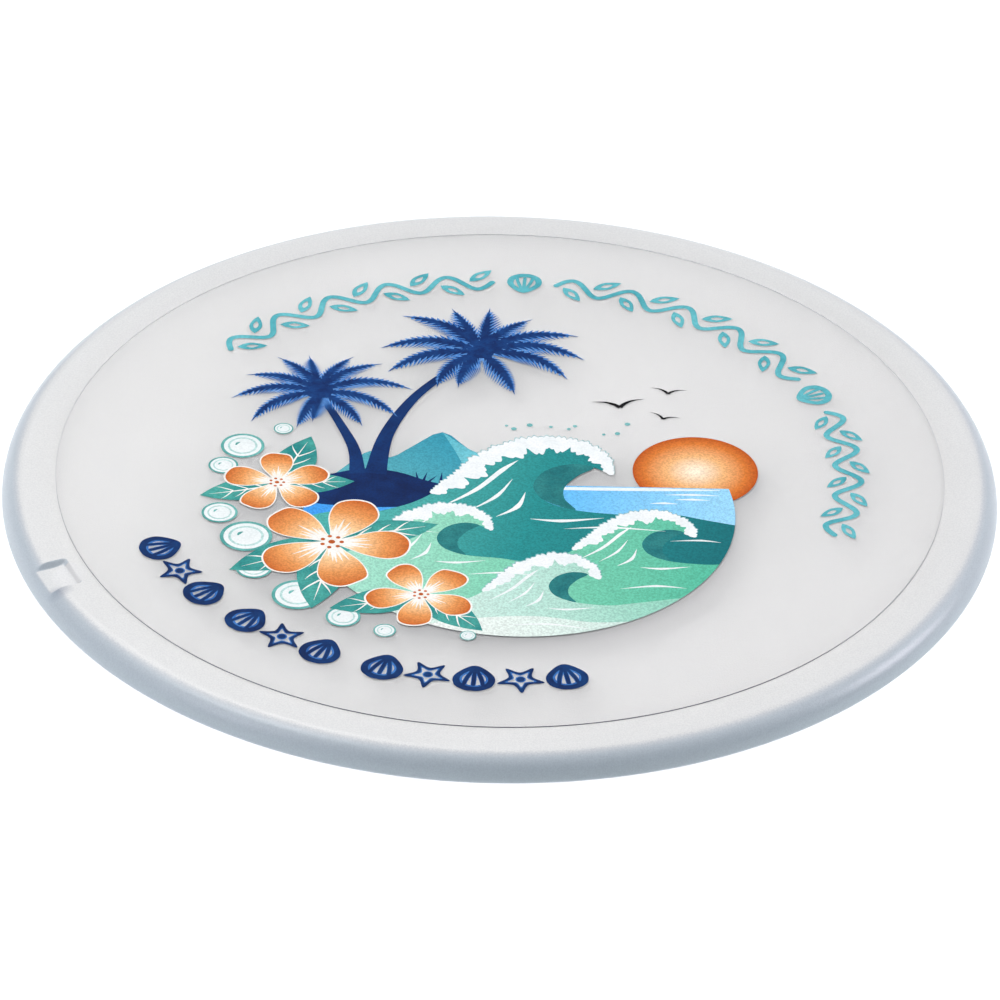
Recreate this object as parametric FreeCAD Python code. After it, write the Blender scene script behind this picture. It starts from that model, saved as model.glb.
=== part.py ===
"""Promotional flying disc: a shallow frosted moulding with a printed film label.

One injection-moulded disc with a short turned-down lip carries a round clear
film, which is bonded to its flat top face and printed on its upper side.
Millimetres, +Z up; the origin is on the disc's axis, in the plane of the
lip's resting edge.
"""
import FreeCAD, Part
import math
import os

# ---- driving dimensions of the moulding ---------------------------------
outer_diameter = 215.0
moulding_height = 6.2
plate_thickness = 2.0
lip_thickness = 2.6
lip_draft_deg = 2.0          # the lip's inner wall opens downwards
shoulder_radius = 4.9        # outer roll-over from the top face to the lip
inner_corner_radius = 2.0    # underside, where the plate meets the lip
edge_radius = 1.3            # outer round of the lip's resting edge
inner_edge_radius = 0.4      # inner round of the lip's resting edge

# ---- gate recess in the shoulder ----------------------------------------
gate_azimuth_deg = 205.0     # anticlockwise from +X, seen from above
gate_width = 9.0             # along the rim
gate_depth = 1.25            # below the top face
gate_inner_radius = 98.8     # where the recess's ramp begins
gate_ramp_length = 2.0       # radial run of the ramp down to the recess's floor
gate_overreach = 5.0         # how far the cutting slot runs out past the rim

# ---- ejector-pin witness marks under the plate --------------------------
pin_mark_diameter = 6.0
pin_mark_depth = 0.15
pin_mark_circle_radii = (38.0, 84.0)
pin_mark_counts = (3, 6)

# ---- label --------------------------------------------------------------
label_radius = 95.85
adhesive_thickness = 0.05
film_thickness = 0.20
ink_thickness = 0.02

# ---- printed areas on the film, as simple outlines ------------------------
picture_patches = (          # (x, y, radius) of round patches that overlap
    (4.3, -17.2, 46.2),      # sea and waves
    (42.1, 0.0, 13.5),       # sun
    (-40.0, 28.8, 18.5),     # left palm
    (-4.7, 46.2, 21.0),      # right palm
    (-22.0, 12.0, 20.0),     # hills and trunks
    (-48.0, -7.3, 18.0),     # upper blossom and leaves
    (-52.0, -24.0, 12.0),    # bubbles beside the blossoms
    (-35.5, -29.7, 22.0),    # largest blossom and leaves
    (-16.1, -48.6, 17.0),    # lower blossom and leaves
    (32.5, 26.5, 8.0),       # gulls
)
upper_border_radii = (69.0, 81.5)
upper_border_azimuths_deg = ((-20.0, 145.0),)
lower_border_radii = (72.5, 85.0)
lower_border_azimuths_deg = ((-158.5, -137.9), (-134.8, -114.2), (-110.6, -76.0))

# ---- worked-out values --------------------------------------------------
outer_radius = outer_diameter / 2
plate_underside = moulding_height - plate_thickness
lip_inner_radius = outer_radius - lip_thickness
label_underside = moulding_height
film_underside = label_underside + adhesive_thickness
ink_underside = film_underside + film_thickness

up = FreeCAD.Vector(0, 0, 1)
origin = FreeCAD.Vector(0, 0, 0)


def at(radius, height):
    """A point of the section plane, at a radius and a height."""
    return FreeCAD.Vector(radius, 0, height)


def rounded_section(corners):
    """A closed face in the section plane; each corner is (radius, height, fillet)."""
    starts = []
    ends = []
    middles = []
    count = len(corners)
    for index, (radius, height, fillet) in enumerate(corners):
        here = at(radius, height)
        before = at(*corners[index - 1][:2])
        after = at(*corners[(index + 1) % count][:2])
        if fillet == 0:
            starts.append(here)
            ends.append(here)
            middles.append(None)
            continue
        to_before = (before - here).normalize()
        to_after = (after - here).normalize()
        half_angle = to_before.getAngle(to_after) / 2
        setback = fillet / math.tan(half_angle)
        bisector = (to_before + to_after).normalize()
        centre = here + bisector * (fillet / math.sin(half_angle))
        starts.append(here + to_before * setback)
        ends.append(here + to_after * setback)
        middles.append(centre - bisector * fillet)
    edges = []
    for index in range(count):
        if middles[index] is not None:
            edges.append(Part.Arc(starts[index], middles[index], ends[index]).toShape())
        following = (index + 1) % count
        if ends[index].distanceToPoint(starts[following]) > 1e-7:
            edges.append(Part.LineSegment(ends[index], starts[following]).toShape())
    return Part.Face(Part.Wire(edges))


def gate_cutter():
    """A slot that ramps down from the top face and runs out past the rim."""
    reach = outer_radius + gate_overreach
    floor_height = moulding_height - gate_depth
    above = moulding_height + gate_depth
    outline = Part.makePolygon([
        at(gate_inner_radius - gate_ramp_length, above),
        at(gate_inner_radius + gate_ramp_length, floor_height),
        at(reach, floor_height),
        at(reach, above),
        at(gate_inner_radius - gate_ramp_length, above),
    ])
    slot = Part.Face(outline).extrude(FreeCAD.Vector(0, gate_width, 0))
    slot.translate(FreeCAD.Vector(0, -gate_width / 2, 0))
    slot.rotate(origin, up, gate_azimuth_deg)
    return slot


def pin_marks():
    """Shallow round ejector-pin marks on the plate's underside, on two circles."""
    marks = []
    for circle_radius, count in zip(pin_mark_circle_radii, pin_mark_counts):
        for index in range(count):
            angle = 2 * math.pi * index / count
            foot = FreeCAD.Vector(circle_radius * math.cos(angle),
                                  circle_radius * math.sin(angle),
                                  plate_underside - pin_mark_depth)
            marks.append(Part.makeCylinder(pin_mark_diameter / 2, 2 * pin_mark_depth, foot, up))
    return marks


def body_moulding():
    """The disc: flat plate, rolled shoulder, short lip, gate recess and pin marks."""
    lip_top_radius = lip_inner_radius - plate_underside * math.tan(math.radians(lip_draft_deg))
    corners = [
        (0, plate_underside, 0),
        (lip_top_radius, plate_underside, inner_corner_radius),
        (lip_inner_radius, 0, inner_edge_radius),
        (outer_radius, 0, edge_radius),
        (outer_radius, moulding_height, shoulder_radius),
        (0, moulding_height, 0),
    ]
    disc = rounded_section(corners).revolve(origin, up, 360)
    disc.rotate(origin, up, gate_azimuth_deg)
    disc = disc.cut(gate_cutter())
    for mark in pin_marks():
        disc = disc.cut(mark)
    return disc


def label_adhesive():
    """The clear adhesive layer between the top face and the film."""
    return Part.makeCylinder(label_radius, adhesive_thickness, at(0, label_underside), up)


def label_film():
    """The round clear film that carries the printed picture."""
    return Part.makeCylinder(label_radius, film_thickness, at(0, film_underside), up)


def ink_sector(radii, azimuths_deg):
    """A flat arc of ink between two radii and two azimuths."""
    inner_radius, outer_edge = radii
    start, end = azimuths_deg
    section = Part.makePlane(outer_edge - inner_radius, ink_thickness,
                             at(inner_radius, ink_underside), FreeCAD.Vector(0, -1, 0),
                             FreeCAD.Vector(1, 0, 0))
    sector = section.revolve(origin, up, end - start)
    sector.rotate(origin, up, start)
    return sector


def picture_ink():
    """The printed picture's area: overlapping round patches as one thin layer."""
    discs = [Part.makeCylinder(radius, ink_thickness, FreeCAD.Vector(x, y, ink_underside), up)
             for x, y, radius in picture_patches]
    return discs[0].multiFuse(discs[1:])


def upper_border_ink():
    """The printed border along the far side of the label."""
    return Part.makeCompound([ink_sector(upper_border_radii, span)
                              for span in upper_border_azimuths_deg])


def lower_border_ink():
    """The printed border along the near side of the label, in three stretches."""
    return Part.makeCompound([ink_sector(lower_border_radii, span)
                              for span in lower_border_azimuths_deg])


sub_parts = {
    "body_moulding": body_moulding,
    "label_adhesive": label_adhesive,
    "label_film": label_film,
    "picture_ink": picture_ink,
    "upper_border_ink": upper_border_ink,
    "lower_border_ink": lower_border_ink,
}

os.makedirs("parts", exist_ok=True)
for name, make in sub_parts.items():
    shape = make().removeSplitter()
    box = shape.optimalBoundingBox()
    print(name, "valid", shape.isValid(), "solids", len(shape.Solids),
          "volume mm3", round(shape.Volume, 1),
          "x", round(box.XMin, 2), round(box.XMax, 2),
          "y", round(box.YMin, 2), round(box.YMax, 2),
          "z", round(box.ZMin, 3), round(box.ZMax, 3))
    shape.exportStep("parts/" + name + ".step")
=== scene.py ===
import math
import random

import bpy
import numpy as np
from mathutils import Matrix, Vector
from mathutils.geometry import delaunay_2d_cdt


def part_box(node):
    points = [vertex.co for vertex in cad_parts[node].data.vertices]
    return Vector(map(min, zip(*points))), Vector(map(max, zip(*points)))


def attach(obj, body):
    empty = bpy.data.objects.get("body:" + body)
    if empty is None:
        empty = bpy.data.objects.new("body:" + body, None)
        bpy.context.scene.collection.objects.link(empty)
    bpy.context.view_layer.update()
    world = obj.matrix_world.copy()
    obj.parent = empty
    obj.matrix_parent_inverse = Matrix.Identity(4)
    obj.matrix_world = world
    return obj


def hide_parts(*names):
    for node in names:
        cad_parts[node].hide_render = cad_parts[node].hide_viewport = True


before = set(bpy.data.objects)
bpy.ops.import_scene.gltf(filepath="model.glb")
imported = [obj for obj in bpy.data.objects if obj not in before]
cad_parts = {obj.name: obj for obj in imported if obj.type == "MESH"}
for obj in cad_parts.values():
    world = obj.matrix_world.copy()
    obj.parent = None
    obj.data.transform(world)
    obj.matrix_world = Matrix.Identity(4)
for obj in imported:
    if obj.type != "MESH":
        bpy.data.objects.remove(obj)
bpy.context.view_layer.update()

MM = 0.001

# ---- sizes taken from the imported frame
body_low, body_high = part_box("body_moulding")
film_low, film_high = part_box("label_film")
adhesive_low, adhesive_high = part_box("label_adhesive")
ink_low, ink_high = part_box("picture_ink")
R = max(body_high[0], body_high[1])  # outer radius; printed shapes are given in it
top_z = body_high[2]
film_radius = max(film_high[0], film_high[1])
film_top = film_high[2]

# ---- section of the moulding
plate_thickness = 2.0 * MM
lip_thickness = 2.6 * MM
lip_draft = math.radians(2.0)
shoulder_radius = 4.9 * MM
inner_corner_radius = 2.0 * MM
edge_radius = 1.3 * MM
inner_edge_radius = 0.4 * MM

# ---- gate recess in the shoulder
gate_azimuth = math.radians(205.0)
gate_width = 9.0 * MM
gate_depth = 1.25 * MM
gate_start = 98.6 * MM        # radius where its floor begins to fall
gate_ramp = 4.2 * MM          # radial run of the fall, a quarter ellipse
gate_entry = 1.0 * MM         # run of the rounding where the fall begins
gate_edge = 0.50 * MM         # half the width of each side wall's rounding
gate_floor_blend = 0.50 * MM  # rounding where the floor meets the shoulder

# ---- ejector-pin marks under the plate
pin_mark_radius = 3.0 * MM
pin_mark_depth = 0.15 * MM
pin_mark_rings = ((38.0 * MM, 3), (84.0 * MM, 6))

# ---- gaps between the layers of the label
layer_gap = 0.0015 * MM


# ---- small helpers
def srgb(red, green, blue):
    """A display colour, 0 to 255, as linear RGB."""
    channels = []
    for value in (red, green, blue):
        v = value / 255
        channels.append(v / 12.92 if v <= 0.04045 else ((v + 0.055) / 1.055) ** 2.4)
    return tuple(channels)


def smoothstep(value):
    """An eased step from 0 to 1."""
    t = min(max(value, 0.0), 1.0)
    return t * t * (3 - 2 * t)


def polar(radius, angle, centre=(0.0, 0.0)):
    """A point on a circle, at an angle in radians."""
    return centre[0] + radius * math.cos(angle), centre[1] + radius * math.sin(angle)


def even_angles(count):
    """Angles of equal steps once round."""
    return [2 * math.pi * index / count for index in range(count)]


def arc(centre, radius, start_deg, end_deg, count):
    """Points on a circular arc, both ends included."""
    return [polar(radius, math.radians(start_deg + (end_deg - start_deg) * index / count), centre)
            for index in range(count + 1)]


def new_piece(name, vertices, faces, material, smooth=True):
    """A mesh object with one material, in the scene's own collection."""
    mesh = bpy.data.meshes.new(name)
    mesh.from_pydata(vertices, [], faces)
    mesh.validate()
    mesh.materials.append(material)
    if smooth:
        mesh.shade_smooth()
    piece = bpy.data.objects.new(name, mesh)
    bpy.context.scene.collection.objects.link(piece)
    return piece


# ---- materials
class Shader:
    """The nodes of a material or a world, with short calls for those that are shared."""

    def __init__(self, owner, space="Object"):
        owner.use_nodes = True
        self.owner = owner
        self.nodes = owner.node_tree.nodes
        self.links = owner.node_tree.links
        self.coordinates = self.nodes.new("ShaderNodeTexCoord").outputs[space]

    def fill(self, node, sockets):
        """Links each named socket to an output, or gives it a value."""
        for name, value in sockets.items():
            if isinstance(value, bpy.types.NodeSocket):
                self.links.new(value, node.inputs[name])
            else:
                node.inputs[name].default_value = value

    def node(self, kind, sockets, **settings):
        """A new node's outputs."""
        node = self.nodes.new("ShaderNode" + kind)
        for setting, value in settings.items():
            setattr(node, setting, value)
        self.fill(node, sockets)
        return node.outputs

    def finish(self, **sockets):
        """Fills the Principled shader's own sockets and gives the material."""
        self.fill(self.nodes["Principled BSDF"],
                  {name.replace("_", " "): value for name, value in sockets.items()})
        return self.owner

    def noise(self, size, detail=2.0, roughness=0.5):
        """Noise whose blobs are about `size` metres across."""
        return self.node("TexNoise", {
            "Scale": 1.0 / size, "Detail": detail, "Roughness": roughness,
            "Vector": self.coordinates})["Fac"]

    def ramp(self, factor, *stops):
        """A colour ramp with stops of (position, colour), where one number is a grey."""
        node = self.nodes.new("ShaderNodeValToRGB")
        elements = node.color_ramp.elements
        while len(elements) < len(stops):
            elements.new(0.5)
        for element, (position, colour) in zip(elements, stops):
            element.position = position
            rgb = colour if isinstance(colour, tuple) else (colour,) * 3
            element.color = (*rgb, 1.0)
        self.fill(node, {"Fac": factor})
        return node.outputs["Color"]

    def span(self, factor, low, high):
        """Maps a 0 to 1 factor onto low to high."""
        return self.node("MapRange", {"To Min": low, "To Max": high, "Value": factor})["Result"]

    def mix(self, kind, colour, other):
        """Two colours put together in full by a blend type."""
        return self.node("Mix", {"Factor": 1.0, "A": colour, "B": other},
                         data_type="RGBA", blend_type=kind)["Result"]

    def along(self, start, end):
        """0 at one point of the label and 1 at another, in outer radii."""
        step = Vector((end[0] - start[0], end[1] - start[1], 0.0)) * R
        shift = self.node("VectorMath", {
            0: self.coordinates, 1: (start[0] * R, start[1] * R, 0.0)}, operation="SUBTRACT")["Vector"]
        return self.node("VectorMath", {
            0: shift, 1: step / step.length_squared}, operation="DOT_PRODUCT")["Value"]

    def away_from(self, centre, radius):
        """0 at a point of the label and 1 at a radius from it, in outer radii."""
        scale = 1.0 / (radius * R)
        flat = self.node("VectorMath", {
            0: self.coordinates, 1: (scale, scale, 0.0),
            2: (-centre[0] / radius, -centre[1] / radius, 0.0)}, operation="MULTIPLY_ADD")["Vector"]
        return self.node("VectorMath", {0: flat}, operation="LENGTH")["Value"]

    def uprightness(self, grain, share):
        """How level the surface is, from 0 on a wall to 1 on a flat, dithered by a grain."""
        normal = self.nodes.new("ShaderNodeNewGeometry").outputs["Normal"]
        upward = self.node("SeparateXYZ", {0: normal})["Z"]
        level_part = self.node("Math", {0: upward}, operation="ABSOLUTE")[0]
        shift = self.span(grain, -share / 2, share / 2)
        return self.node("Math", {0: level_part, 1: shift}, operation="ADD", use_clamp=True)[0]

    def bump(self, height, distance, **under):
        """A bump of the given height in metres, on top of another one given as Normal."""
        return self.node("Bump", {"Distance": distance, "Height": height, **under})["Normal"]


def recess_point(radius, across):
    """A point beside the recess's centre line, in outer radii."""
    cosine, sine = math.cos(gate_azimuth), math.sin(gate_azimuth)
    return ((radius * cosine - across * sine) / R, (radius * sine + across * cosine) / R)


def frosted_plastic():
    """Translucent cool-white plastic with a fine spark-eroded grain, and painted shade: darker and
    bluer on its slopes and walls, a painted lighter patch in the gate recess and a painted dark spot
    beside the recess's outer corner.
    """
    shader = Shader(bpy.data.materials.new("frosted_plastic"))
    grain = shader.noise(0.34 * MM, roughness=0.6)
    plate = shader.ramp(shader.noise(30 * MM, detail=3.0), (0.3, 0.985), (0.7, 1.0))
    speck = shader.ramp(grain, (0.34, (0.88, 0.88, 0.89)), (0.64, 1.0))
    # Painted shade: walls and slopes darker and bluer than the flats, set by how level the surface is.
    painted_slope_shade = shader.ramp(
        shader.uprightness(grain, 0.06),
        (0.0, (0.48, 0.555, 0.59)), (0.50, (0.505, 0.565, 0.605)), (0.84, (0.51, 0.563, 0.60)),
        (0.92, (0.555, 0.585, 0.61)), (0.955, (0.635, 0.648, 0.653)), (0.98, (0.702, 0.704, 0.69)))
    # Painted light: the gate recess is kept as light as the flats, lifting its walls out of the painted
    # slope shade.
    pocket_centre, pocket_radius = recess_point(100.0 * MM, 0.6 * MM), 4.8 * MM
    painted_recess_light = shader.ramp(
        shader.away_from(pocket_centre, pocket_radius / R), (0.76, (0.705, 0.708, 0.70)), (1.0, 0.0))
    # Painted shade: a darker spot on the shoulder beside the recess's outer corner.
    corner, corner_shade_radius = recess_point(103.9 * MM, gate_width / 2 + 0.8 * MM), 3.0 * MM
    painted_corner_shade = shader.ramp(
        shader.away_from(corner, corner_shade_radius / R), (0.20, (0.62, 0.64, 0.70)), (1.0, 1.0))
    reach = shader.away_from((0, 0), 1.0)
    bare = shader.ramp(reach, (0.885, (0.97, 0.968, 0.963)), (0.905, 0.96))
    painted_slope_shade = shader.mix("MULTIPLY", shader.mix("LIGHTEN", painted_slope_shade, painted_recess_light), painted_corner_shade)
    tone = plate
    for layer in (speck, painted_slope_shade, bare):
        tone = shader.mix("MULTIPLY", tone, layer)
    coarse = shader.bump(shader.noise(1.4 * MM, detail=1.0), 0.02 * MM)
    return shader.finish(
        Base_Color=tone, Transmission_Weight=shader.ramp(reach, (0.87, 0.62), (0.94, 0.20)),
        Roughness=shader.span(grain, 0.24, 0.42), IOR=1.49,
        Normal=shader.bump(grain, 0.05 * MM, Normal=coarse))


def clear_film():
    """The label's clear film: faint, satin, with a little orange peel."""
    shader = Shader(bpy.data.materials.new("clear_film"))
    peel = shader.noise(1.1 * MM)
    return shader.finish(
        Base_Color=shader.ramp(peel, (0.3, srgb(240, 243, 246)), (0.7, srgb(246, 248, 250))),
        Roughness=shader.span(peel, 0.22, 0.30), Normal=shader.bump(peel, 0.004 * MM),
        IOR=1.47, Alpha=0.04)


def clear_adhesive():
    """The clear adhesive layer under the film."""
    shader = Shader(bpy.data.materials.new("clear_adhesive"))
    flow = shader.noise(9 * MM)
    return shader.finish(
        Base_Color=shader.ramp(flow, (0.3, srgb(238, 241, 244)), (0.7, srgb(246, 248, 250))),
        Roughness=shader.span(flow, 0.35, 0.5), IOR=1.47, Alpha=0.02)


def film_edge():
    """The film's cut edge: a thin line, with painted shade that makes it greyer on the near side and
    pale on the far side.
    """
    shader = Shader(bpy.data.materials.new("film_edge"))
    wear = shader.noise(2.5 * MM, detail=3.0)
    worn = shader.ramp(wear, (0.35, (0.82, 0.82, 0.84)), (0.7, 1.0))
    # Painted shade: dark on the near side, fading to pale on the far side.
    shade = shader.ramp(
        shader.along((0, -0.9), (0, 0.9)), (0.0, srgb(112, 114, 122)),
        (0.35, srgb(158, 160, 166)), (0.75, srgb(244, 245, 247)), (1.0, 1.0))
    return shader.finish(
        Base_Color=shader.mix("MULTIPLY", worn, shade), Roughness=shader.span(wear, 0.3, 0.5), IOR=1.47)


def pale_floor():
    """The table that the disc lies on."""
    shader = Shader(bpy.data.materials.new("pale_floor"))
    return shader.finish(
        Base_Color=shader.ramp(shader.noise(0.5), (0.3, 0.96), (0.7, 0.98)), Roughness=0.9,
        Specular_IOR_Level=0.0)


# ---- the moulding
def gate_drop(x, y, z):
    """How far the gate recess lowers a point of the outer surface."""
    along = x * math.cos(gate_azimuth) + y * math.sin(gate_azimuth)
    across = -x * math.sin(gate_azimuth) + y * math.cos(gate_azimuth)
    if along < gate_start:
        return 0.0
    rest = max(0.0, 1 - (along - gate_start) / gate_ramp)
    floor = top_z - gate_depth * math.sqrt(1 - rest * rest)
    over = z - floor
    drop = 0.5 * (over + math.sqrt(over * over + gate_floor_blend ** 2))
    inside = 1 - smoothstep((abs(across) - gate_width / 2 + gate_edge) / (2 * gate_edge))
    return drop * inside * smoothstep((along - gate_start) / gate_entry)


def rim_angles():
    """Angles round the rim, closer together at the recess and its side walls."""
    coarse, medium, fine = math.radians(0.75), math.radians(0.25), math.radians(0.06)
    wall_low, wall_high = math.radians(2.0), math.radians(3.0)
    offsets = [0.0]
    while offsets[-1] < math.pi:
        here = offsets[-1]
        offsets.append(here + (medium if here < wall_low else fine if here < wall_high else coarse))
    offsets[-1] = math.pi
    offsets += [-offset for offset in offsets[-2:0:-1]]
    return [gate_azimuth + offset for offset in offsets]


def outer_profile():
    """Top face, shoulder, resting edge and hollow, as (radius, height) pairs."""
    top_ring_count = 10
    flat_end = R - shoulder_radius
    dense_start = gate_start - 1.5 * MM
    dense_count = 44
    outside = [(dense_start * index / top_ring_count, top_z) for index in range(1, top_ring_count)]
    outside += [(dense_start + (flat_end - dense_start) * index / dense_count, top_z)
                for index in range(dense_count)]
    outside += arc((flat_end, top_z - shoulder_radius), shoulder_radius, 90, 0, 30)
    outside += arc((R - edge_radius, edge_radius), edge_radius, 0, -90, 12)[1:]
    lip_inner = R - lip_thickness
    inside = arc((lip_inner + inner_edge_radius, inner_edge_radius), inner_edge_radius, -90, -180, 6)
    ceiling = top_z - plate_thickness
    wall_top = lip_inner - ceiling * math.tan(lip_draft)
    inside += arc(
        (wall_top - inner_corner_radius, ceiling - inner_corner_radius), inner_corner_radius, 0, 90, 12)
    return outside, inside


def underside_disc(rim, ceiling):
    """The plate's flat underside inside a rim of points, with its pin marks."""
    slope_width = 0.25 * MM
    facets = 40
    loops = [[Vector(point[:2]) for point in rim]]
    heights = [ceiling] * len(rim)
    for ring_radius, count in pin_mark_rings:
        for angle in even_angles(count):
            centre = polar(ring_radius, angle)
            for radius, height in ((pin_mark_radius, ceiling),
                                   (pin_mark_radius - slope_width, ceiling + pin_mark_depth)):
                loops.append([Vector(p) for p in arc(centre, radius, 0, 360, facets)[:-1]])
                heights += [height] * facets
    points, outlines = [], []
    for loop in loops:
        outlines.append(list(range(len(points), len(points) + len(loop))))
        points += loop
    flat, _, triangles, sources = delaunay_2d_cdt(points, [], outlines, 1, 1e-9, True)[:4]
    vertices = [(point.x, point.y, heights[source[0]]) for point, source in zip(flat, sources)]
    return vertices, [list(reversed(triangle)) for triangle in triangles]


def add_rings(vertices, profile, angles):
    """Adds a ring of vertices for each (radius, height); the rings as lists of numbers."""
    rings = []
    for radius, height in profile:
        rings.append(list(range(len(vertices), len(vertices) + len(angles))))
        vertices += [(*polar(radius, angle), height) for angle in angles]
    return rings


def skin(rings):
    """Faces from each ring to the next."""
    faces = []
    for upper, lower in zip(rings, rings[1:]):
        for i in range(len(upper)):
            j = (i + 1) % len(upper)
            faces.append((upper[i], lower[i], lower[j], upper[j]))
    return faces


def fan(tip, ring):
    """Triangles from one vertex to a ring."""
    return [(tip, ring[i], ring[(i + 1) % len(ring)]) for i in range(len(ring))]


def build_body():
    """The moulding as one closed skin, with the recess pressed into its shoulder."""
    angles = rim_angles()
    outside, inside = outer_profile()
    vertices = [(0.0, 0.0, top_z)]
    rings = add_rings(vertices, outside, angles)
    vertices = [(x, y, z - gate_drop(x, y, z)) for x, y, z in vertices]
    rings += add_rings(vertices, inside, angles)
    last = rings[-1]
    rim = [vertices[i] for i in last]
    disc_vertices, disc_faces = underside_disc(rim, top_z - plate_thickness)

    def spot(vertex):
        return round(vertex[0], 8), round(vertex[1], 8)

    known = {spot(vertex): i for vertex, i in zip(rim, last)}
    numbers = []
    for vertex in disc_vertices:
        numbers.append(known.get(spot(vertex), len(vertices)))
        if numbers[-1] == len(vertices):
            vertices.append(vertex)
    faces = fan(0, rings[0]) + skin(rings)
    faces += [tuple(numbers[i] for i in face) for face in disc_faces]
    piece = new_piece("frosted_body", vertices, faces, frosted_plastic())
    for polygon in piece.data.polygons[-len(disc_faces):]:
        polygon.use_smooth = False  # the plate's underside is flat
    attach(piece, "root")
    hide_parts("body_moulding")
    piece.visible_shadow = False  # lamps shine through the frosted plate


# ---- the label's film and adhesive
def clear_layer(name, radii, high, low, material):
    """A flat clear sheet as a closed solid, with rings at some radii on both faces."""
    vertices = [(0.0, 0.0, high)]
    profile = [(radius, high) for radius in radii] + [(radius, low) for radius in radii[::-1]]
    rings = add_rings(vertices, profile, even_angles(480))
    vertices.append((0.0, 0.0, low))
    faces = fan(0, rings[0]) + skin(rings) + fan(len(vertices) - 1, rings[-1][::-1])
    piece = new_piece(name, vertices, faces, material)
    piece.visible_shadow = False
    return piece


def build_film():
    """The clear film, its cut edge and the adhesive below it."""
    bevel = 0.04 * MM
    edge_width = 0.06 * MM
    adhesive_setback = 0.15 * MM
    low = film_low[2] + layer_gap
    core = film_radius - edge_width
    film = clear_layer(
        "label_clear_film", (core * 0.5, core * 0.9, core), film_top, low, clear_film())
    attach(film, "root")
    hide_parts("label_film")
    inner = core + layer_gap
    vertices = []
    rings = add_rings(vertices, [
        (inner, film_top), (film_radius - bevel, film_top), (film_radius, film_top - bevel),
        (film_radius, low), (inner, low)], even_angles(720))
    edge = new_piece("label_cut_edge", vertices, skin(rings + rings[:1]), film_edge(), smooth=False)
    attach(edge, "root")
    reach = film_radius - adhesive_setback
    adhesive = clear_layer(
        "label_clear_adhesive", (reach * 0.5, reach), adhesive_high[2] - layer_gap,
        adhesive_low[2] + layer_gap, clear_adhesive())
    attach(adhesive, "root")
    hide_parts("label_adhesive")


# ---- printed shapes
# Outlines are in outer radii, x to the right and y away, as the print is read.
def curve(points, closed=False, steps=8):
    """A smooth line through given points."""
    count = len(points)
    line = []
    for i in range(count if closed else count - 1):
        before, here, there, after = (
            Vector(points[k % count if closed else min(max(k, 0), count - 1)])
            for k in range(i - 1, i + 3))
        for k in range(steps):
            t = k / steps
            line.append(0.5 * (
                2 * here + (there - before) * t + (2 * before - 5 * here + 4 * there - after) * t ** 2
                + (3 * here - before - 3 * there + after) * t ** 3))
    if not closed:
        line.append(Vector(points[-1]))
    return line


def level(values, t):
    """A value between evenly spaced ones, for t from 0 to 1."""
    place = min(max(t, 0.0), 1.0) * (len(values) - 1)
    low = min(int(place), len(values) - 2)
    return values[low] + (values[low + 1] - values[low]) * (place - low)


def normals(line):
    """The unit normal on the left of each point of a line."""
    runs = [after - before for before, after in zip(line[:1] + line[:-1], line[1:] + line[-1:])]
    return [Vector((-run.y, run.x)).normalized() for run in runs]


def stroke(points, widths, steps=8):
    """A brush stroke along a smooth line, with its width given along the way."""
    line = curve(points, steps=steps)
    last = len(line) - 1
    least = 0.0006
    left, right = [], []
    for i, (point, normal) in enumerate(zip(line, normals(line))):
        half = max(level(widths, i / last), least) / 2
        left.append(point + normal * half)
        right.append(point - normal * half)
    return left + right[::-1]


def disc(centre, radius, count=72):
    """A round outline."""
    return arc(centre, radius, 0, 360, count)[:-1]


def frond(root, tip, arch, width, teeth):
    """A palm frond: a bent rib with a saw of leaflets, longer on its hollow side."""
    root, tip = Vector(root), Vector(tip)
    axis = tip - root
    left = Vector((-axis.y, axis.x))
    control = (root + tip) / 2 + left * arch * 2

    def rib(t):
        return root * (1 - t) ** 2 + control * 2 * t * (1 - t) + tip * t ** 2

    def run(t):
        return ((control - root) * (1 - t) + (tip - control) * t).normalized()

    def reach(t):
        return width * (0.42 + 0.58 * smoothstep(t / 0.3)) * (1 - t ** 2.2) ** 0.8

    hollow = -1.0 if arch > 0 else 1.0
    edges = {}
    for side, share in ((hollow, 1.0), (-hollow, 0.45)):
        edge = []
        for k in range(teeth):
            for t, out, ahead in (((k + 0.35) / teeth, 0.42, 0.0), ((k + 0.8) / teeth, 1.0, 0.75)):
                forward = run(t)
                across = Vector((-forward.y, forward.x)) * side
                length = reach(t) * share
                edge.append(rib(t) + across * length * out + forward * length * ahead)
        edges[side] = edge
    return [root] + edges[-hollow] + [rib(1.0) + run(1.0) * 0.012] + edges[hollow][::-1]


def palm(sheet, crown, length, width, lean, seed):
    """A crown of drooping fronds: blue feathering under a navy core."""
    rng = random.Random(seed)
    crown = Vector(crown)
    fronds = []
    for heading, share in (
            (-100, 0.62), (-62, 0.86), (-28, 1.0), (2, 1.02), (30, 0.95), (62, 0.82),
            (92, 0.74), (122, 0.84), (152, 0.98), (180, 1.0), (208, 0.96), (240, 0.8)):
        angle = math.radians(heading + lean + rng.uniform(-7, 7))
        reach = length * share * rng.uniform(0.92, 1.06)
        tip = crown + Vector(polar(reach, angle))
        fronds.append((tip, 0.2 * math.cos(angle) + rng.uniform(-0.03, 0.03)))
    for tip, arch in fronds:
        sheet.add("palm_feathering", frond(crown, tip, arch, width, 17))
    for tip, arch in fronds:
        sheet.add("palm_crowns", frond(crown, crown + (tip - crown) * 0.985, arch, width * 0.6, 13))
    heart = [(crown.x + 0.03 * math.cos(a), crown.y + 0.026 * math.sin(a))
             for a in (0.4, 1.6, 2.8, 4.0, 5.3)]
    sheet.add("palm_crowns", curve(heart, closed=True))


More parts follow.
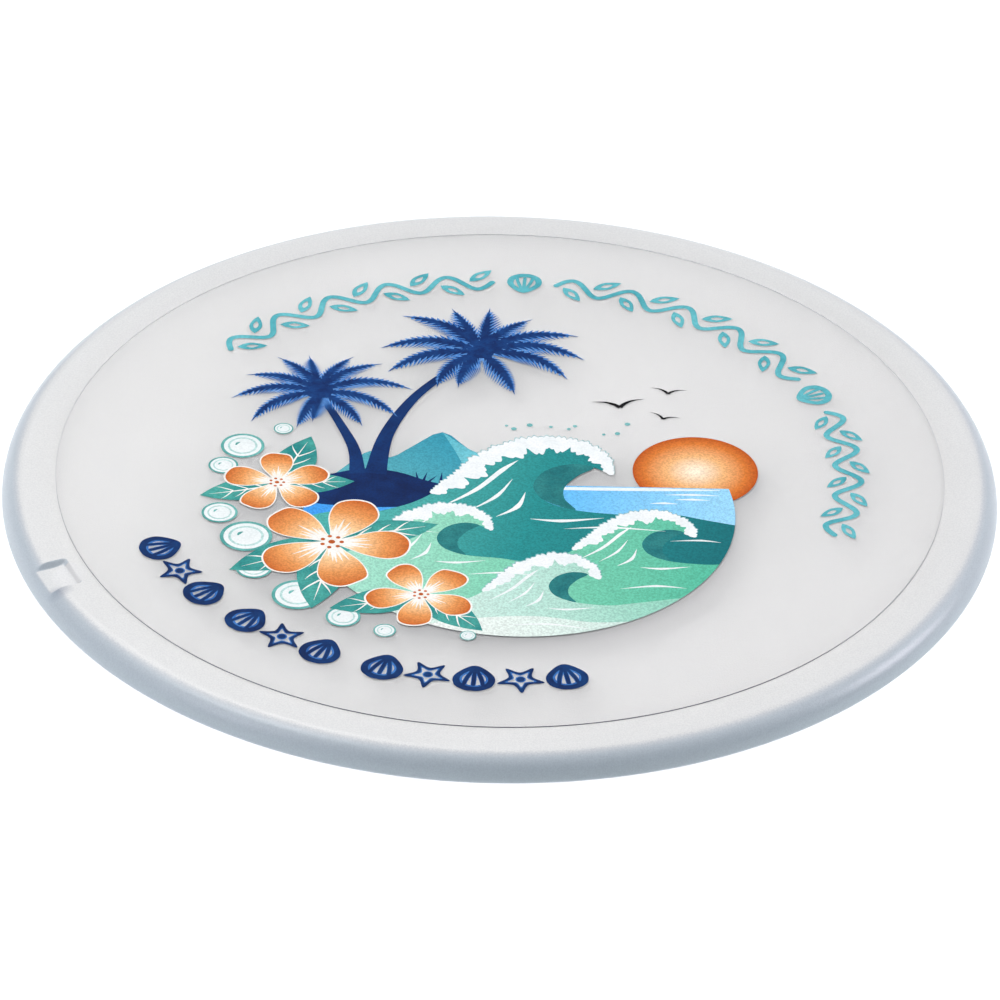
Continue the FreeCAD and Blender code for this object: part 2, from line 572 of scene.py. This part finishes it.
def foam(spine, outer, inner, lobes, fingers, seed):
    """A strip of foam along a crest: frilled lobes outside, dripping fingers inside."""
    rng = random.Random(seed)
    line = curve(spine, steps=44)
    last = len(line) - 1
    lobe_sizes = [rng.uniform(0.35, 1.0) for _ in range(lobes + 1)]
    finger_sizes = [rng.uniform(0.25, 1.0) for _ in range(fingers + 1)]
    phase = rng.uniform(0.0, 3.0)
    outside, inside = [], []
    for i, (point, normal) in enumerate(zip(line, normals(line))):
        s = i / last
        taper = math.sin(math.pi * min(max(s, 0.01), 0.99)) ** 0.45
        lobe = lobe_sizes[int(s * lobes)] * abs(math.sin(math.pi * lobes * s)) ** 0.55
        frill = abs(math.sin(math.pi * 2.3 * lobes * s + phase))
        finger = finger_sizes[int(s * fingers)] * abs(math.sin(math.pi * fingers * s)) ** 0.8
        drip = abs(math.sin(math.pi * 2.6 * fingers * s + phase))
        outside.append(point + normal * outer * taper * (0.42 + 0.4 * lobe + 0.22 * frill))
        inside.append(point - normal * inner * taper * (0.16 + 0.68 * finger + 0.18 * drip))
    return outside + inside[::-1]


def blossom(sheet, ink, centre, radius, turn_deg, seed):
    """An open five-petalled blossom, its petals turned like a pinwheel."""
    rng = random.Random(seed)
    centre = Vector(centre)
    half = [(0.05, 0.0), (0.26, 0.17), (0.52, 0.335), (0.78, 0.375), (0.95, 0.235), (1.0, 0.03),
            (0.94, -0.15), (0.74, -0.235), (0.48, -0.2), (0.24, -0.1)]
    middle = Vector((0.55, 0.05))

    def petal(angle, ruffle, grow):
        turn = Matrix.Rotation(math.radians(angle), 2)
        local = [Vector((u, v)) * (1 + shift) for (u, v), shift in zip(half, ruffle)]
        return [centre + turn @ (middle + (point - middle) * grow) * radius
                for point in curve(local, closed=True, steps=7)]

    petals = []
    for k in range(5):
        ruffle = [0.0] * 3 + [rng.uniform(-0.03, 0.03) for _ in half[3:]]
        petals.append((turn_deg + 72 * k + rng.uniform(-4, 4), ruffle))
    round_all, between = 0.0085, 0.006  # widths of the white line round the petals
    for angle, ruffle in petals:
        sheet.add("petal_edges", petal(angle, ruffle, 1.0 + round_all / radius))
    for angle, ruffle in petals:
        sheet.add("petal_edges", petal(angle, ruffle, 1.0 + between / radius))
        sheet.add(ink, petal(angle, ruffle, 1.0))
    for angle, _ in petals:
        for offset, length in ((-14, 0.36), (-5, 0.48), (4, 0.56), (13, 0.52), (22, 0.44), (31, 0.32)):
            heading = math.radians(angle + offset + rng.uniform(-2, 2))
            run = Vector(polar(1.0, heading))
            reach = radius * length * rng.uniform(0.85, 1.1)
            ray = [centre + run * distance for distance in (radius * 0.05, reach * 0.6, reach)]
            sheet.add("petal_edges", stroke(ray, [0.045 * radius, 0.04 * radius, 0.0], steps=3))
    sheet.add("petal_edges", disc(centre, 0.1 * radius, 24))
    for angle in even_angles(7):
        sheet.add("stamens", disc(polar(0.13 * radius, angle, centre), 0.03 * radius, 14))
    sheet.add("stamens", disc(centre, 0.045 * radius, 18))


def leaf(sheet, root, heading_deg, length, width):
    """A pointed leaf with a white rib and side veins."""
    turn = Matrix.Rotation(math.radians(heading_deg), 2)
    root = Vector(root)

    def placed(points):
        return [root + turn @ Vector(point) * length for point in points]

    edge = [(0.0, 0.0), (0.22, 0.42 * width), (0.5, 0.5 * width), (0.78, 0.3 * width), (1.0, 0.0)]
    mirrored = [(u, -v) for u, v in edge]
    sheet.add("leaves", curve(placed(edge)) + curve(placed(mirrored))[::-1][1:-1])
    thick = 0.03 * length
    rib = [(0.0, 0.0), (0.45, 0.015), (0.88, 0.0)]
    sheet.add("petal_edges", stroke(placed(rib), [thick, thick * 0.8, 0.0]))
    for start in (0.22, 0.4, 0.58):
        for side in (-1, 1):
            bow = width * side
            vein = [(start, 0.0), (start + 0.11, 0.2 * bow), (start + 0.19, 0.3 * bow)]
            sheet.add("petal_edges", stroke(placed(vein), [thick * 0.7, thick * 0.5, 0.0], steps=4))


def bubble(sheet, centre, radius):
    """A bubble: a teal ring on a white ground, a pale ring inside and a glint."""
    sheet.add("bubble_ground", disc(centre, radius, 56))
    sheet.add("bubble_rings", disc(centre, radius, 56), disc(centre, radius * 0.86, 56))
    sheet.add("bubble_glints", disc(centre, radius * 0.68, 48), disc(centre, radius * 0.58, 48))
    glint = [polar(radius * 0.32, angle, centre) for angle in (2.0, 2.5, 3.0)]
    sheet.add("bubble_rings", stroke(glint, [0.05 * radius, 0.14 * radius, 0.05 * radius], steps=3))


def bird(sheet, place, span, tilt_deg):
    """A gull seen far off: two swept wings that meet in a point."""
    turn = Matrix.Rotation(math.radians(tilt_deg), 2)
    for side in (-1, 1):
        wing = [(0.0, -0.1), (0.1 * side, 0.02), (0.28 * side, 0.13), (0.55 * side, 0.17)]
        points = [Vector(place) + turn @ Vector(point) * span for point in wing]
        sheet.add("birds", stroke(points, [0.1 * span, 0.09 * span, 0.05 * span, 0.0]))


# ---- the seaside picture
SUN = ((0.392, 0.0), 0.126)  # middle and radius
BLOSSOMS = {
    "blossom_1": ((-0.446, -0.068), 0.104), "blossom_2": ((-0.15, -0.452), 0.106),
    "blossom_3": ((-0.33, -0.276), 0.152)}
sea_middle, sea_reach = (0.04, -0.16), 0.43
horizon = -0.06
breaker = [
    (-0.95, 0.0), (-0.7, 0.14), (-0.45, 0.4), (-0.2, 0.72), (0.1, 0.94), (0.42, 0.97),
    (0.68, 0.8), (0.78, 0.56), (0.64, 0.64), (0.46, 0.68), (0.27, 0.58), (0.18, 0.38),
    (0.26, 0.18), (0.5, 0.05), (0.88, 0.0)]


def scaled(points, place, size):
    """Unit points moved to a place at a size."""
    return [(place[0] + u * size, place[1] + v * size) for u, v in points]


def sea_point(angle_deg):
    """A point on the round edge of the sea."""
    return polar(sea_reach, math.radians(angle_deg), sea_middle)


def wave_layer(sheet, ink, left_deg, right_deg, swells):
    """One sheet of water over the round sea edge.

    Its crest runs through points (x, y) and breakers (place, size)."""
    crest = [sea_point(left_deg)]
    for first, second in swells:
        crest += scaled(breaker, first, second) if isinstance(first, tuple) else [(first, second)]
    crest.append(sea_point(right_deg))
    sheet.add(ink, arc(sea_middle, sea_reach, left_deg, right_deg + 360, 90)
              + curve(crest, steps=9)[::-1][1:-1])


def breaker_detail(sheet, place, size, lobes, seed):
    """The shaded hollow, the foam and the light streaks of one breaker."""
    barrel = [(0.18, 0.38), (0.27, 0.58), (0.46, 0.68), (0.64, 0.64), (0.52, 0.52), (0.42, 0.36),
              (0.42, 0.2), (0.5, 0.05), (0.26, 0.18)]
    sheet.add("barrel_shade", curve(scaled(barrel, place, size), closed=True))
    spine = scaled([(-0.6, 0.24), (-0.42, 0.44), (-0.2, 0.72), (0.1, 0.94), (0.42, 0.97),
                    (0.68, 0.8), (0.78, 0.54)], place, size)
    sheet.add("foam_outline", foam(spine, 0.115 * size + 0.004, 0.08 * size, lobes, lobes // 2, seed))
    sheet.add("crest_foam", foam(spine, 0.115 * size, 0.21 * size, lobes, lobes // 2, seed))
    for points, widths in (
            ([(-0.52, 0.06), (-0.26, 0.3), (-0.06, 0.58), (0.06, 0.72)], (0.04, 0.045)),
            ([(-0.3, 0.02), (-0.1, 0.22), (0.02, 0.46)], (0.035,)),
            ([(-0.1, -0.06), (0.06, 0.08), (0.12, 0.28)], (0.045,)),
            ([(0.16, -0.08), (0.4, -0.1), (0.72, -0.05)], (0.04,))):
        swell = [0.0, *(width * size for width in widths), 0.0]
        sheet.add("wave_streaks", stroke(scaled(points, place, size), swell))
    rng = random.Random(seed + 100)
    for _ in range(9 if size > 0.2 else 0):
        spot = (rng.uniform(-0.25, 0.95), rng.uniform(1.1, 1.28))
        sheet.add("spray", disc(scaled([spot], place, size)[0], rng.uniform(0.012, 0.026) * size, 14))


def draw_coast(sheet):
    """Sun, hills, far water and the dark island with its two palms."""
    sheet.add("sun", disc(*SUN, 120))
    climb = [(-0.35, -0.06), (-0.3, 0.01), (-0.262, 0.052), (-0.222, 0.03), (-0.176, 0.074)]
    fall = [(-0.118, 0.126), (-0.066, 0.068), (-0.024, 0.036), (0.02, -0.01), (0.078, -0.06)]
    sheet.add("far_hill", curve(climb + fall, steps=3) + [(-0.1, -0.08)])
    shade_line = [(-0.03, -0.06), (-0.072, 0.0), (-0.092, 0.06)]
    sheet.add("far_hill_light", curve(fall, steps=3) + shade_line)
    left = math.degrees(math.asin((horizon - sea_middle[1]) / sea_reach))
    sheet.add("far_water", arc(sea_middle, sea_reach, 180 - left, 360 + left, 110))
    surf = [(-0.06, -0.066), (0.12, -0.07), (0.3, -0.068), (0.44, -0.066)]
    sheet.add("shore_line", stroke(surf, [0.004, 0.011, 0.011, 0.002]))
    for start, end, y in (
            (0.33, 0.44, -0.086), (0.35, 0.42, -0.103), (0.3, 0.356, -0.118),
            (-0.06, 0.01, -0.094), (-0.02, 0.06, -0.112)):
        ripple = [(start, y), ((start + end) / 2, y + 0.002), (end, y)]
        sheet.add("shore_line", stroke(ripple, [0.0, 0.007, 0.0], steps=4))
    land = curve([
        (-0.44, -0.11), (-0.392, -0.058), (-0.33, -0.03), (-0.27, -0.012), (-0.206, -0.022),
        (-0.15, -0.05), (-0.1, -0.072), (-0.03, -0.116)], steps=5)
    shore = curve([(-0.03, -0.116), (-0.12, -0.14), (-0.25, -0.15), (-0.37, -0.14), (-0.44, -0.11)])
    sheet.add("island", land + shore[1:-1])
    for trunk, widths in (
            ([(-0.286, -0.03), (-0.296, 0.06), (-0.33, 0.16), (-0.372, 0.262)],
             [0.034, 0.024, 0.018, 0.014]),
            ([(-0.25, -0.03), (-0.232, 0.11), (-0.182, 0.244), (-0.112, 0.35), (-0.046, 0.428)],
             [0.046, 0.03, 0.022, 0.018, 0.015])):
        sheet.add("palm_trunks", stroke(trunk, widths))
    for x, lean in ((-0.4, 24), (-0.36, 10), (-0.16, -16), (-0.12, -30)):
        for turn in (-26, 0, 26):
            heading = math.radians(90 + lean + turn)
            tuft = polar(0.05, heading, (x, -0.07))
            sheet.add("island", stroke([(x, -0.08), tuft], [0.012, 0.0]))


def draw_waves(sheet):
    """Breakers rolling to the right in four sheets of water, paler towards the viewer."""
    back = ((0.02, -0.16), 0.262)
    inner = ((-0.155, -0.322), 0.18)
    outer = ((0.252, -0.33), 0.176)
    front = ((0.07, -0.478), 0.166)
    swells = [(-0.33, -0.168), (-0.275, -0.172), back, (0.33, -0.152), (0.405, -0.172)]
    wave_layer(sheet, "back_wave", 184, -4, swells)
    breaker_detail(sheet, *back, 21, 4)
    wave_layer(sheet, "middle_wave", 203, -23, [inner, (0.04, -0.33), outer])
    breaker_detail(sheet, *inner, 17, 9)
    breaker_detail(sheet, *outer, 17, 12)
    wave_layer(sheet, "front_wave", 222, -42, [(-0.2, -0.462), (-0.12, -0.49), front, (0.262, -0.47)])
    breaker_detail(sheet, *front, 15, 5)
    sheet.add("shallows", arc(sea_middle, sea_reach, 246, 300, 40) + curve([
        sea_point(300), (0.18, -0.536), (0.08, -0.52), (-0.03, -0.528), sea_point(246)])[1:-1])
    for width, *points in (
            (0.007, (-0.33, -0.235), (-0.23, -0.222), (-0.12, -0.236)),
            (0.007, (0.13, -0.214), (0.22, -0.206), (0.33, -0.216)),
            (0.006, (0.34, -0.25), (0.4, -0.246), (0.44, -0.252)),
            (0.006, (-0.06, -0.38), (0.01, -0.372), (0.08, -0.38)),
            (0.007, (0.24, -0.42), (0.31, -0.408), (0.37, -0.414)),
            (0.006, (0.02, -0.552), (0.1, -0.546), (0.18, -0.56))):
        sheet.add("wave_streaks", stroke(points, [0.0, width, 0.0]))


def draw_sky(sheet):
    """Palm crowns and three gulls."""
    palm(sheet, (-0.372, 0.268), 0.168, 0.036, 8, 3)
    palm(sheet, (-0.044, 0.43), 0.205, 0.045, -6, 8)
    bird(sheet, (0.24, 0.24), 0.098, 8)
    bird(sheet, (0.34, 0.292), 0.066, -6)
    bird(sheet, (0.33, 0.196), 0.058, -18)


def draw_garland(sheet):
    """Leaves, three blossoms and bubbles down the left of the sea."""
    for x, y, radius in (
            (-0.556, -0.01, 0.03), (-0.52, 0.062, 0.044), (-0.556, -0.18, 0.036),
            (-0.5, -0.262, 0.052), (-0.48, -0.372, 0.036), (-0.392, -0.462, 0.05),
            (-0.3, -0.534, 0.034), (-0.218, -0.578, 0.022), (-0.056, -0.59, 0.016),
            (-0.44, 0.128, 0.02)):
        bubble(sheet, (x, y), radius)
    far, middle, near = (-0.44, -0.075), (-0.33, -0.275), (-0.15, -0.455)
    for root, heading, length, width in (
            (far, 72, 0.185, 0.46), (far, 196, 0.165, 0.46), (middle, 208, 0.225, 0.42),
            (middle, 262, 0.235, 0.42), (middle, 18, 0.22, 0.4), (near, 196, 0.185, 0.44),
            (near, 316, 0.17, 0.44), (far, 6, 0.15, 0.46)):
        leaf(sheet, root, heading, length, width)
    for ink, turn_deg, seed in (("blossom_1", 18, 11), ("blossom_2", 40, 37), ("blossom_3", 64, 23)):
        blossom(sheet, ink, *BLOSSOMS[ink], turn_deg, seed)


# ---- ornaments of the two borders
shell_rim = [
    (0.0, -0.02), (-0.22, 0.1), (-0.44, 0.42), (-0.4, 0.74), (-0.2, 0.92), (0.0, 0.96),
    (0.2, 0.92), (0.4, 0.74), (0.44, 0.42), (0.22, 0.1)]
star_rim = [
    (math.sin(math.pi * k / 5) * reach, 0.48 + math.cos(math.pi * k / 5) * reach)
    for k, reach in enumerate((0.52, 0.27) * 5)]


def bent(points, azimuth_deg, radius, size):
    """Unit points wrapped round the label, standing outwards."""
    azimuth = math.radians(azimuth_deg)
    return [polar(radius + v * size, azimuth - u * size / radius) for u, v in points]


def rounded_stroke(sheet, ink, points, weight):
    """A line of even weight with round ends."""
    sheet.add(ink, stroke(points, [weight, weight], steps=7))
    for end in (points[0], points[-1]):
        sheet.add(ink, disc(end, weight / 2, 18))


def outlined(sheet, ink, rim, middle_v, place, weight):
    """A closed outline of even weight round a middle point."""
    shrink = 1 - 2.3 * weight / place[2]
    inner = [(u * shrink, middle_v + (v - middle_v) * shrink) for u, v in rim]
    sheet.add(ink, *(curve(bent(line, *place), closed=True) for line in (rim, inner)))


def draw_shell(sheet, ink, place, weight):
    """A scallop shell: a fan outline with three ribs."""
    outlined(sheet, ink, shell_rim, 0.47, place, weight)
    for u in (-0.2, 0.0, 0.2):
        rounded_stroke(
            sheet, ink, bent([(u * 0.2, 0.12), (u * 0.8, 0.5), (u, 0.72)], *place), weight * 0.62)


def draw_starfish(sheet, ink, place, weight):
    """A starfish outline with a dot in its middle."""
    outlined(sheet, ink, star_rim, 0.48, place, weight)
    sheet.add(ink, disc(bent([(0.0, 0.48)], *place)[0], weight * 0.62, 18))


def draw_vine(sheet, ink, start_deg, end_deg, waves, radius, height, weight):
    """A winding stem with an outlined leaf in every bend."""
    stem = []
    for k in range(waves * 8 + 1):
        angle = math.radians(start_deg + (end_deg - start_deg) * k / (waves * 8))
        stem.append(polar(radius + 0.3 * height * math.sin(2 * math.pi * k / 8), angle))
    rounded_stroke(sheet, ink, stem, weight)
    pitch = radius * math.radians(start_deg - end_deg) / waves
    for k in range(waves * 2):
        place = (start_deg + (end_deg - start_deg) * (k + 0.5) / (waves * 2), radius, pitch)
        side = -1 if k % 2 == 0 else 1
        root, tip = Vector((-0.13, 0.04 * side)), Vector((0.25, 0.38 * side))
        rim = lens(root, tip, 0.105)
        middle = (root + tip) * 0.5
        inner = [middle + (point - middle) * 0.42 for point in rim]
        sheet.add(ink, bent(rim, *place), bent(inner, *place))


def lens(root, tip, half_width):
    """A leaf outline: two smooth edges that meet in points at the root and the tip."""
    rib = tip - root
    across = Vector((-rib.y, rib.x)).normalized() * half_width
    edge = ((0.0, 0.0), (0.18, 0.66), (0.46, 1.0), (0.78, 0.62), (1.0, 0.0))
    left, right = [
        curve([root + rib * t + across * w * side for t, w in edge], steps=6) for side in (1, -1)]
    return left + right[::-1][1:-1]


def draw_borders(sheet):
    """A winding vine in teal on the far side, shells and starfish in navy near."""
    for start_deg, end_deg, waves in ((143.0, 92.0, 5), (81.0, 30.0, 5), (19.0, -18.0, 4)):
        draw_vine(sheet, "upper_border", start_deg, end_deg, waves, 0.7, 0.085, 0.0125)
    for azimuth_deg in (86.5, 24.5):
        draw_shell(sheet, "upper_border", (azimuth_deg, 0.664, 0.076), 0.012)
    for middle, count in ((-93.3, 5), (-124.5, 3), (-148.2, 3)):
        for index in range(count):
            place = (middle + 7.0 * ((count - 1) / 2 - index), 0.694, 0.086)
            draw = draw_shell if index % 2 == 0 else draw_starfish
            draw(sheet, "lower_border_edge", place, 0.0165)
            draw(sheet, "lower_border", place, 0.0125)


# ---- cutting the print into pieces
def winding(outline, places):
    """How many times a closed outline turns round each place."""
    end = np.roll(outline, -1, axis=0)
    run = end - outline
    offset = places[:, None] - outline
    left = run[:, 0] * offset[..., 1] - run[:, 1] * offset[..., 0] > 0
    below = outline[:, 1] <= places[:, 1:]
    end_below = end[:, 1] <= places[:, 1:]
    return (below & ~end_below & left).sum(axis=1) - (~below & end_below & ~left).sum(axis=1)


class PrintedSheet:
    """Overlapping outlines in print order; only the uppermost ink shows at any place."""

    def __init__(self):
        self.shapes = []

    def add(self, ink, *loops):
        """One shape: a loop, or loops inside one another for a ring."""
        self.shapes.append((ink, [[tuple(point) for point in loop] for loop in loops]))

    def cut(self):
        """Triangles of each ink's own area: ink name to a list of corner triples."""
        points, edges = [], []
        for _, loops in self.shapes:
            for loop in loops:
                start, count = len(points), len(loop)
                points += [Vector(point) for point in loop]
                edges += [(start + k, start + (k + 1) % count) for k in range(count)]
        flat, _, triangles = delaunay_2d_cdt(points, edges, [], 0, 2e-6, False)[:3]
        corners = np.array([tuple(point) for point in flat])
        middles = corners[np.array(triangles)].mean(axis=1)
        top = np.full(len(middles), -1)
        for number, (_, loops) in enumerate(self.shapes):
            inside = np.zeros(len(middles), dtype=bool)
            for loop in loops:
                outline = np.array(loop)
                near = np.nonzero(np.all(
                    (middles > outline.min(axis=0)) & (middles < outline.max(axis=0)), axis=1))[0]
                inside[near] ^= winding(outline, middles[near]) != 0
            top[inside] = number
        areas = {}
        for triangle, number in zip(triangles, top):
            if number >= 0:
                areas.setdefault(self.shapes[number][0], []).append(triangle)
        return flat, areas


def thicken(flat, triangles, low, high):
    """A closed thin solid over some triangles of the cut sheet, in metres."""
    used = sorted({corner for triangle in triangles for corner in triangle})
    place = {corner: index for index, corner in enumerate(used)}
    count = len(used)
    vertices = [(flat[c].x * R, flat[c].y * R, z) for z in (high, low) for c in used]
    faces, edges = [], {}
    for triangle in triangles:
        a, b, c = (place[corner] for corner in triangle)
        faces.append((a, b, c))
        faces.append((c + count, b + count, a + count))
        edges.update(dict.fromkeys(((a, b), (b, c), (c, a))))
    for first, second in edges:
        if (second, first) not in edges:
            faces.append((first, first + count, second + count, second))
    return vertices, faces


def ink_shader(name, make_colour, darkest):
    """Satin ink: its own colours, a mottle down to `darkest` and an eggshell surface."""
    shader = Shader(bpy.data.materials.new(name))
    speck = shader.noise(0.45 * MM, roughness=0.6)
    mottle = shader.ramp(speck, (0.36, darkest), (0.62, 1.0))
    peel = shader.bump(shader.noise(0.8 * MM, detail=1.0), 0.014 * MM)
    return shader.finish(
        Base_Color=shader.mix("MULTIPLY", make_colour(shader), mottle), IOR=1.45,
        Roughness=shader.span(speck, 0.38, 0.55), Specular_IOR_Level=0.07,
        Normal=shader.bump(speck, 0.014 * MM, Normal=peel))


def plain(first, second, size=6.0):
    """A colour that drifts slowly between two near tones, in blobs of a size in mm."""
    return lambda shader: shader.ramp(
        shader.noise(size * MM), (0.35, srgb(*first)), (0.65, srgb(*second)))


def sweep(start, end, *stops):
    """A gradient along a line on the label."""
    return lambda shader: shader.ramp(
        shader.along(start, end), *((place, srgb(*colour)) for place, colour in stops))


def glow(centre, radius, *stops):
    """A gradient outwards from a point of the label."""
    return lambda shader: shader.ramp(
        shader.away_from(centre, radius), *((place, srgb(*colour)) for place, colour in stops))


PETAL_STOPS = (
    (0.08, (252, 240, 220)), (0.4, (242, 196, 144)), (0.7, (224, 148, 84)), (1.0, (198, 102, 42)))
INKS = {
    "sun": glow(
        *SUN, (0.05, (251, 232, 206)), (0.45, (236, 178, 120)), (0.8, (212, 120, 52)),
        (1.0, (184, 82, 24))),
    "far_hill": sweep((-0.3, -0.05), (-0.12, 0.12), (0.0, (88, 168, 178)), (1.0, (50, 146, 168))),
    "far_hill_light": sweep(
        (-0.08, 0.1), (0.04, -0.06), (0.0, (96, 182, 196)), (1.0, (128, 198, 206))),
    "far_water": sweep(
        (-0.3, -0.1), (0.44, -0.1), (0.0, (62, 150, 226)), (0.55, (96, 182, 238)),
        (1.0, (150, 208, 240))),
    "shore_line": plain((214, 227, 232), (224, 231, 234)),
    "island": plain((4, 32, 80), (8, 44, 98)),
    "palm_trunks": plain((4, 40, 92), (10, 52, 108)),
    "palm_crowns": plain((4, 40, 94), (14, 60, 120), 2.5),
    "palm_feathering": plain((44, 100, 172), (92, 148, 214), 2.0),
    "birds": plain((8, 8, 10), (20, 20, 24)),
    "back_wave": sweep(
        (-0.2, -0.16), (0.44, -0.3), (0.0, (74, 166, 160)), (0.4, (34, 136, 136)),
        (1.0, (20, 108, 114))),
    "middle_wave": sweep(
        (-0.34, -0.3), (0.42, -0.36), (0.0, (164, 216, 196)), (0.45, (126, 202, 172)),
        (1.0, (84, 182, 152))),
    "front_wave": sweep(
        (-0.26, -0.46), (0.36, -0.44), (0.0, (220, 231, 222)), (0.45, (186, 220, 208)),
        (1.0, (140, 202, 180))),
    "shallows": sweep(
        (-0.12, -0.54), (0.26, -0.54), (0.0, (232, 237, 231)), (1.0, (202, 225, 215))),
    "barrel_shade": plain((28, 108, 112), (44, 126, 126), 5.0),
    "foam_outline": plain((130, 174, 178), (160, 196, 198), 3.0),
    "crest_foam": plain((221, 226, 226), (230, 232, 232), 4.0),
    "spray": plain((104, 172, 172), (128, 186, 186), 4.0),
    "wave_streaks": plain((221, 227, 226), (230, 232, 231)),
    "bubble_ground": plain((217, 223, 222), (225, 229, 228)),
    "bubble_rings": plain((78, 156, 150), (110, 178, 172), 5.0),
    "bubble_glints": plain((168, 206, 202), (188, 216, 212), 5.0),
    "leaves": plain((40, 132, 130), (72, 160, 150), 7.0),
    "petal_edges": plain((229, 225, 217), (234, 232, 227), 4.0),
    **{name: glow(*place, *PETAL_STOPS) for name, place in BLOSSOMS.items()},
    "stamens": plain((178, 84, 36), (196, 104, 52), 2.0),
    "upper_border": plain((74, 162, 172), (100, 182, 190), 8.0),
    "lower_border_edge": plain((44, 96, 166), (66, 122, 190), 4.0),
    "lower_border": plain((4, 36, 84), (10, 54, 108), 4.0),
}
PALE_INKS = ("shore_line", "crest_foam", "wave_streaks", "bubble_ground", "petal_edges")
STANDS_FOR = {
    "crest_foam": "picture_ink", "upper_border": "upper_border_ink",
    "lower_border": "lower_border_ink"}


def build_print():
    """Every ink as its own thin piece on the film."""
    sheet = PrintedSheet()
    draw_coast(sheet)
    draw_waves(sheet)
    draw_sky(sheet)
    draw_garland(sheet)
    draw_borders(sheet)
    flat, areas = sheet.cut()
    low, high = film_top + layer_gap, ink_high[2] - layer_gap
    for ink, make_colour in INKS.items():
        surface = ink_shader("ink_" + ink, make_colour, 0.9 if ink in PALE_INKS else 0.73)
        piece = new_piece("ink_" + ink, *thicken(flat, areas[ink], low, high), surface, smooth=False)
        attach(piece, "root")
        if ink in STANDS_FOR:
            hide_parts(STANDS_FOR[ink])


# ---- stage, light and camera
def build_floor():
    """A plain pale table under the disc."""
    half = 4.0
    corners = [(x * half, y * half, 0) for x, y in ((-1, -1), (1, -1), (1, 1), (-1, 1))]
    floor = new_piece("table_top", corners, [(0, 1, 2, 3)], pale_floor())


def set_up(name, data, place, right, up, back):
    """A lamp or camera at a place, looking away from its back axis."""
    thing = bpy.data.objects.new(name, data)
    turn = Matrix((right, up, back)).transposed().to_4x4()
    thing.matrix_world = Matrix.Translation(place) @ turn
    bpy.context.scene.collection.objects.link(thing)
    return thing


def area_light(name, place, width, height, power, colour=(1, 1, 1)):
    """A soft box at a place, facing the disc, with its width level."""
    data = bpy.data.lights.new(name, "AREA")
    data.shape = "RECTANGLE"
    data.size = width
    data.size_y = height
    data.energy = power
    data.color = colour
    back = Vector(place).normalized()
    side = (Vector((1, 0, 0)) - back * back.x).normalized()
    set_up(name, data, place, side, back.cross(side), back)


def build_lights():
    """A wide soft box overhead with four smaller lamps, in a room brighter at its back."""
    area_light("overhead_box", (0.0, 0.25, 1.2), 2.2, 1.6, 8.3)
    area_light("back_left_lamp", (-0.28, 0.75, 1.10), 0.55, 0.40, 4.4, (1.0, 0.99, 0.98))
    area_light("streak_lamp", (-0.58, -0.05, 1.08), 0.34, 0.20, 4.6, (0.99, 0.99, 1.0))
    area_light("left_fill", (-1.10, -0.62, 0.72), 0.50, 0.50, 3.7, (0.94, 0.90, 1.0))
    area_light("right_side_fill", (1.22, 0.12, 0.50), 0.40, 0.40, 8.4, (0.98, 0.92, 0.99))
    world = bpy.data.worlds.new("studio_room")
    bpy.context.scene.world = world
    shader = Shader(world, "Generated")
    axes = shader.node("SeparateXYZ", {0: shader.coordinates})

    def blend(axis, low, high, low_colour, high_colour):
        share = shader.node("MapRange", {
            "From Min": low, "From Max": high, "Value": axes[axis]},
            interpolation_type="SMOOTHSTEP")["Result"]
        return shader.node("Mix", {
            "Factor": share, "A": low_colour, "B": high_colour}, data_type="RGBA")["Result"]

    front = blend("X", -0.7, 0.7, (0.28, 0.30, 0.36, 1), (0.04, 0.12, 0.14, 1))
    room = blend("Y", -0.4, 0.7, front, (0.74, 0.74, 0.74, 1))
    shader.fill(shader.nodes["Background"], {"Color": room, "Strength": 0.74})


def build_camera():
    """A long lens at the photograph's height, set by the disc's radius."""
    elevation = math.radians(33.87)
    roll = math.radians(1.15)
    distance = 14.363 * R
    right_shift, up_shift = 0.0004 * R, 0.0646 * R
    back = Vector((0.0, -math.cos(elevation), math.sin(elevation)))
    right = Vector((1.0, 0.0, 0.0))
    up = back.cross(right)
    rolled_right = right * math.cos(roll) + up * math.sin(roll)
    rolled_up = up * math.cos(roll) - right * math.sin(roll)
    place = back * distance - rolled_right * right_shift - rolled_up * up_shift
    place.z += film_top
    data = bpy.data.cameras.new("studio_camera")
    data.sensor_width = 36.0
    data.lens = 257.4
    data.clip_start = 0.01
    data.clip_end = 30.0
    bpy.context.scene.camera = set_up("studio_camera", data, place, rolled_right, rolled_up, back)


bpy.context.scene.view_settings.view_transform = "Standard"
build_camera()
build_floor()
build_lights()
build_body()
build_film()
build_print()
